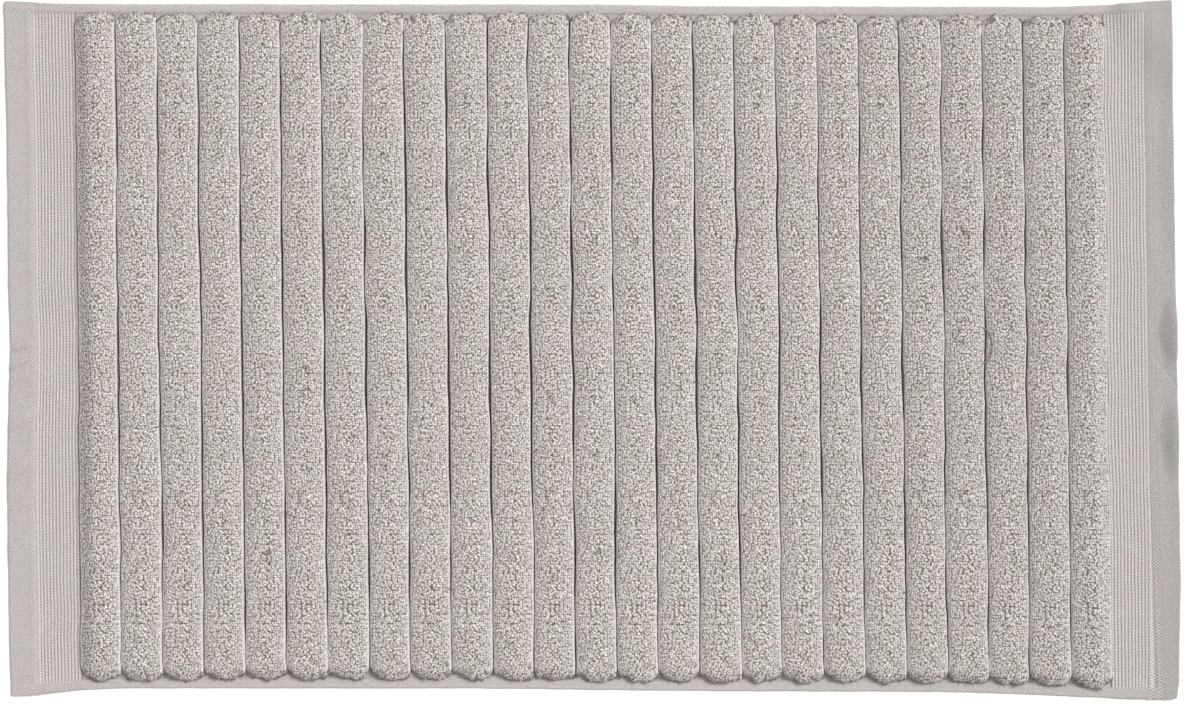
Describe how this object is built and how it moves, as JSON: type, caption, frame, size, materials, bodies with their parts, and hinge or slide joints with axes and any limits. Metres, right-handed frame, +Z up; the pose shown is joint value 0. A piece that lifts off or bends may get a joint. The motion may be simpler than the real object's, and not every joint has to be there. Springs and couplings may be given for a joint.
{
  "type": "bath mat",
  "caption": "Rectangular cotton bath mat with chunky raised terry ribs across its width, corded end bands and sewn hems; it rolls up along its grooves.",
  "frame": {"origin": "middle of the mat's underside, on the surface it lies on", "axes": "+X along the mat's length across the ribs, towards the end that stays flat; +Y along the ribs; +Z up through the pile"},
  "size_m": [1.0066, 0.5938, 0.0143],
  "materials": {
    "pile": "looped terry pile, matt",
    "ground": "plain weave, matt",
    "band": "corded rep weave, matt",
    "hem": "folded plain weave, matt",
    "thread": "twisted sewing thread"
  },
  "bodies": {
    "right_end": {"band_right": "band", "hem_right": "hem", "seam_right": "thread"},
    "strip_25": {"ground_25": "ground", "rib_25": "pile"},
    "strip_24": {"ground_24": "ground", "rib_24": "pile"},
    "strip_23": {"ground_23": "ground", "rib_23": "pile"},
    "strip_22": {"ground_22": "ground", "rib_22": "pile"},
    "strip_21": {"ground_21": "ground", "rib_21": "pile"},
    "strip_20": {"ground_20": "ground", "rib_20": "pile"},
    "strip_19": {"ground_19": "ground", "rib_19": "pile"},
    "strip_18": {"ground_18": "ground", "rib_18": "pile"},
    "strip_17": {"ground_17": "ground", "rib_17": "pile"},
    "strip_16": {"ground_16": "ground", "rib_16": "pile"},
    "strip_15": {"ground_15": "ground", "rib_15": "pile"},
    "strip_14": {"ground_14": "ground", "rib_14": "pile"},
    "strip_13": {"ground_13": "ground", "rib_13": "pile"},
    "strip_12": {"ground_12": "ground", "rib_12": "pile"},
    "strip_11": {"ground_11": "ground", "rib_11": "pile"},
    "strip_10": {"ground_10": "ground", "rib_10": "pile"},
    "strip_09": {"ground_09": "ground", "rib_09": "pile"},
    "strip_08": {"ground_08": "ground", "rib_08": "pile"},
    "strip_07": {"ground_07": "ground", "rib_07": "pile"},
    "strip_06": {"ground_06": "ground", "rib_06": "pile"},
    "strip_05": {"ground_05": "ground", "rib_05": "pile"},
    "strip_04": {"ground_04": "ground", "rib_04": "pile"},
    "strip_03": {"ground_03": "ground", "rib_03": "pile"},
    "strip_02": {"ground_02": "ground", "rib_02": "pile"},
    "strip_01": {"ground_01": "ground", "rib_01": "pile"},
    "left_band": {"band_left": "band"},
    "left_hem": {"hem_left": "hem", "seam_left": "thread"}
  },
  "joints": [
    {"name": "roll_25", "type": "hinge", "parent": "right_end", "child": "strip_25", "pos_m": [0.441, 0, 0.002], "axis": [-0.0111, 0.9999, 0], "range_deg": [0, 23.11]},
    {"name": "roll_24", "type": "hinge", "parent": "strip_25", "child": "strip_24", "pos_m": [0.4058, 0, 0.002], "axis": [-0.0111, 0.9999, 0], "range_deg": [0, 23.41]},
    {"name": "roll_23", "type": "hinge", "parent": "strip_24", "child": "strip_23", "pos_m": [0.3706, 0, 0.002], "axis": [-0.0111, 0.9999, 0], "range_deg": [0, 23.81]},
    {"name": "roll_22", "type": "hinge", "parent": "strip_23", "child": "strip_22", "pos_m": [0.3354, 0, 0.002], "axis": [-0.0111, 0.9999, 0], "range_deg": [0, 24.2]},
    {"name": "roll_21", "type": "hinge", "parent": "strip_22", "child": "strip_21", "pos_m": [0.3002, 0, 0.002], "axis": [-0.0111, 0.9999, 0], "range_deg": [0, 24.5]},
    {"name": "roll_20", "type": "hinge", "parent": "strip_21", "child": "strip_20", "pos_m": [0.265, 0, 0.002], "axis": [-0.0111, 0.9999, 0], "range_deg": [0, 24.9]},
    {"name": "roll_19", "type": "hinge", "parent": "strip_20", "child": "strip_19", "pos_m": [0.2298, 0, 0.002], "axis": [-0.0111, 0.9999, 0], "range_deg": [0, 25.31]},
    {"name": "roll_18", "type": "hinge", "parent": "strip_19", "child": "strip_18", "pos_m": [0.1946, 0, 0.002], "axis": [-0.0111, 0.9999, 0], "range_deg": [0, 25.81]},
    {"name": "roll_17", "type": "hinge", "parent": "strip_18", "child": "strip_17", "pos_m": [0.1594, 0, 0.002], "axis": [-0.0111, 0.9999, 0], "range_deg": [0, 26.21]},
    {"name": "roll_16", "type": "hinge", "parent": "strip_17", "child": "strip_16", "pos_m": [0.1242, 0, 0.002], "axis": [-0.0111, 0.9999, 0], "range_deg": [0, 26.7]},
    {"name": "roll_15", "type": "hinge", "parent": "strip_16", "child": "strip_15", "pos_m": [0.089, 0, 0.002], "axis": [-0.0111, 0.9999, 0], "range_deg": [0, 27.2]},
    {"name": "roll_14", "type": "hinge", "parent": "strip_15", "child": "strip_14", "pos_m": [0.0538, 0, 0.002], "axis": [-0.0111, 0.9999, 0], "range_deg": [0, 27.81]},
    {"name": "roll_13", "type": "hinge", "parent": "strip_14", "child": "strip_13", "pos_m": [0.0186, 0, 0.002], "axis": [-0.0111, 0.9999, 0], "range_deg": [0, 28.41]},
    {"name": "roll_12", "type": "hinge", "parent": "strip_13", "child": "strip_12", "pos_m": [-0.0166, 0, 0.002], "axis": [-0.0111, 0.9999, 0], "range_deg": [0, 29]},
    {"name": "roll_11", "type": "hinge", "parent": "strip_12", "child": "strip_11", "pos_m": [-0.0518, 0, 0.002], "axis": [-0.0111, 0.9999, 0], "range_deg": [0, 29.6]},
    {"name": "roll_10", "type": "hinge", "parent": "strip_11", "child": "strip_10", "pos_m": [-0.087, 0, 0.002], "axis": [-0.0111, 0.9999, 0], "range_deg": [0, 30.31]},
    {"name": "roll_09", "type": "hinge", "parent": "strip_10", "child": "strip_09", "pos_m": [-0.1222, 0, 0.002], "axis": [-0.0111, 0.9999, 0], "range_deg": [0, 31.11]},
    {"name": "roll_08", "type": "hinge", "parent": "strip_09", "child": "strip_08", "pos_m": [-0.1574, 0, 0.002], "axis": [-0.0111, 0.9999, 0], "range_deg": [0, 31.9]},
    {"name": "roll_07", "type": "hinge", "parent": "strip_08", "child": "strip_07", "pos_m": [-0.1926, 0, 0.002], "axis": [-0.0111, 0.9999, 0], "range_deg": [0, 32.81]},
    {"name": "roll_06", "type": "hinge", "parent": "strip_07", "child": "strip_06", "pos_m": [-0.2278, 0, 0.002], "axis": [-0.0111, 0.9999, 0], "range_deg": [0, 33.8]},
    {"name": "roll_05", "type": "hinge", "parent": "strip_06", "child": "strip_05", "pos_m": [-0.263, 0, 0.002], "axis": [-0.0111, 0.9999, 0], "range_deg": [0, 34.8]},
    {"name": "roll_04", "type": "hinge", "parent": "strip_05", "child": "strip_04", "pos_m": [-0.2982, 0, 0.002], "axis": [-0.0111, 0.9999, 0], "range_deg": [0, 36]},
    {"name": "roll_03", "type": "hinge", "parent": "strip_04", "child": "strip_03", "pos_m": [-0.3334, 0, 0.002], "axis": [-0.0111, 0.9999, 0], "range_deg": [0, 37.31]},
    {"name": "roll_02", "type": "hinge", "parent": "strip_03", "child": "strip_02", "pos_m": [-0.3686, 0, 0.002], "axis": [-0.0111, 0.9999, 0], "range_deg": [0, 38.7]},
    {"name": "roll_01", "type": "hinge", "parent": "strip_02", "child": "strip_01", "pos_m": [-0.4038, 0, 0.002], "axis": [-0.0111, 0.9999, 0], "range_deg": [0, 40.31]},
    {"name": "roll_band", "type": "hinge", "parent": "strip_01", "child": "left_band", "pos_m": [-0.439, 0, 0.002], "axis": [-0.0111, 0.9999, 0], "range_deg": [0, 45.21]},
    {"name": "roll_hem", "type": "hinge", "parent": "left_band", "child": "left_hem", "pos_m": [-0.479, 0, 0.002], "axis": [-0.0111, 0.9999, 0], "range_deg": [0, 38.4]}
  ],
  "couplings": [
    {"joint": "roll_25", "follows": "roll_hem", "ratio": 0.6016},
    {"joint": "roll_24", "follows": "roll_hem", "ratio": 0.6094},
    {"joint": "roll_23", "follows": "roll_hem", "ratio": 0.6198},
    {"joint": "roll_22", "follows": "roll_hem", "ratio": 0.6302},
    {"joint": "roll_21", "follows": "roll_hem", "ratio": 0.638},
    {"joint": "roll_20", "follows": "roll_hem", "ratio": 0.6484},
    {"joint": "roll_19", "follows": "roll_hem", "ratio": 0.6589},
    {"joint": "roll_18", "follows": "roll_hem", "ratio": 0.6719},
    {"joint": "roll_17", "follows": "roll_hem", "ratio": 0.6823},
    {"joint": "roll_16", "follows": "roll_hem", "ratio": 0.6953},
    {"joint": "roll_15", "follows": "roll_hem", "ratio": 0.7083},
    {"joint": "roll_14", "follows": "roll_hem", "ratio": 0.724},
    {"joint": "roll_13", "follows": "roll_hem", "ratio": 0.7396},
    {"joint": "roll_12", "follows": "roll_hem", "ratio": 0.7552},
    {"joint": "roll_11", "follows": "roll_hem", "ratio": 0.7708},
    {"joint": "roll_10", "follows": "roll_hem", "ratio": 0.7891},
    {"joint": "roll_09", "follows": "roll_hem", "ratio": 0.8099},
    {"joint": "roll_08", "follows": "roll_hem", "ratio": 0.8307},
    {"joint": "roll_07", "follows": "roll_hem", "ratio": 0.8542},
    {"joint": "roll_06", "follows": "roll_hem", "ratio": 0.8802},
    {"joint": "roll_05", "follows": "roll_hem", "ratio": 0.9062},
    {"joint": "roll_04", "follows": "roll_hem", "ratio": 0.9375},
    {"joint": "roll_03", "follows": "roll_hem", "ratio": 0.9714},
    {"joint": "roll_02", "follows": "roll_hem", "ratio": 1.0078},
    {"joint": "roll_01", "follows": "roll_hem", "ratio": 1.0495},
    {"joint": "roll_band", "follows": "roll_hem", "ratio": 1.1771}
  ]
}
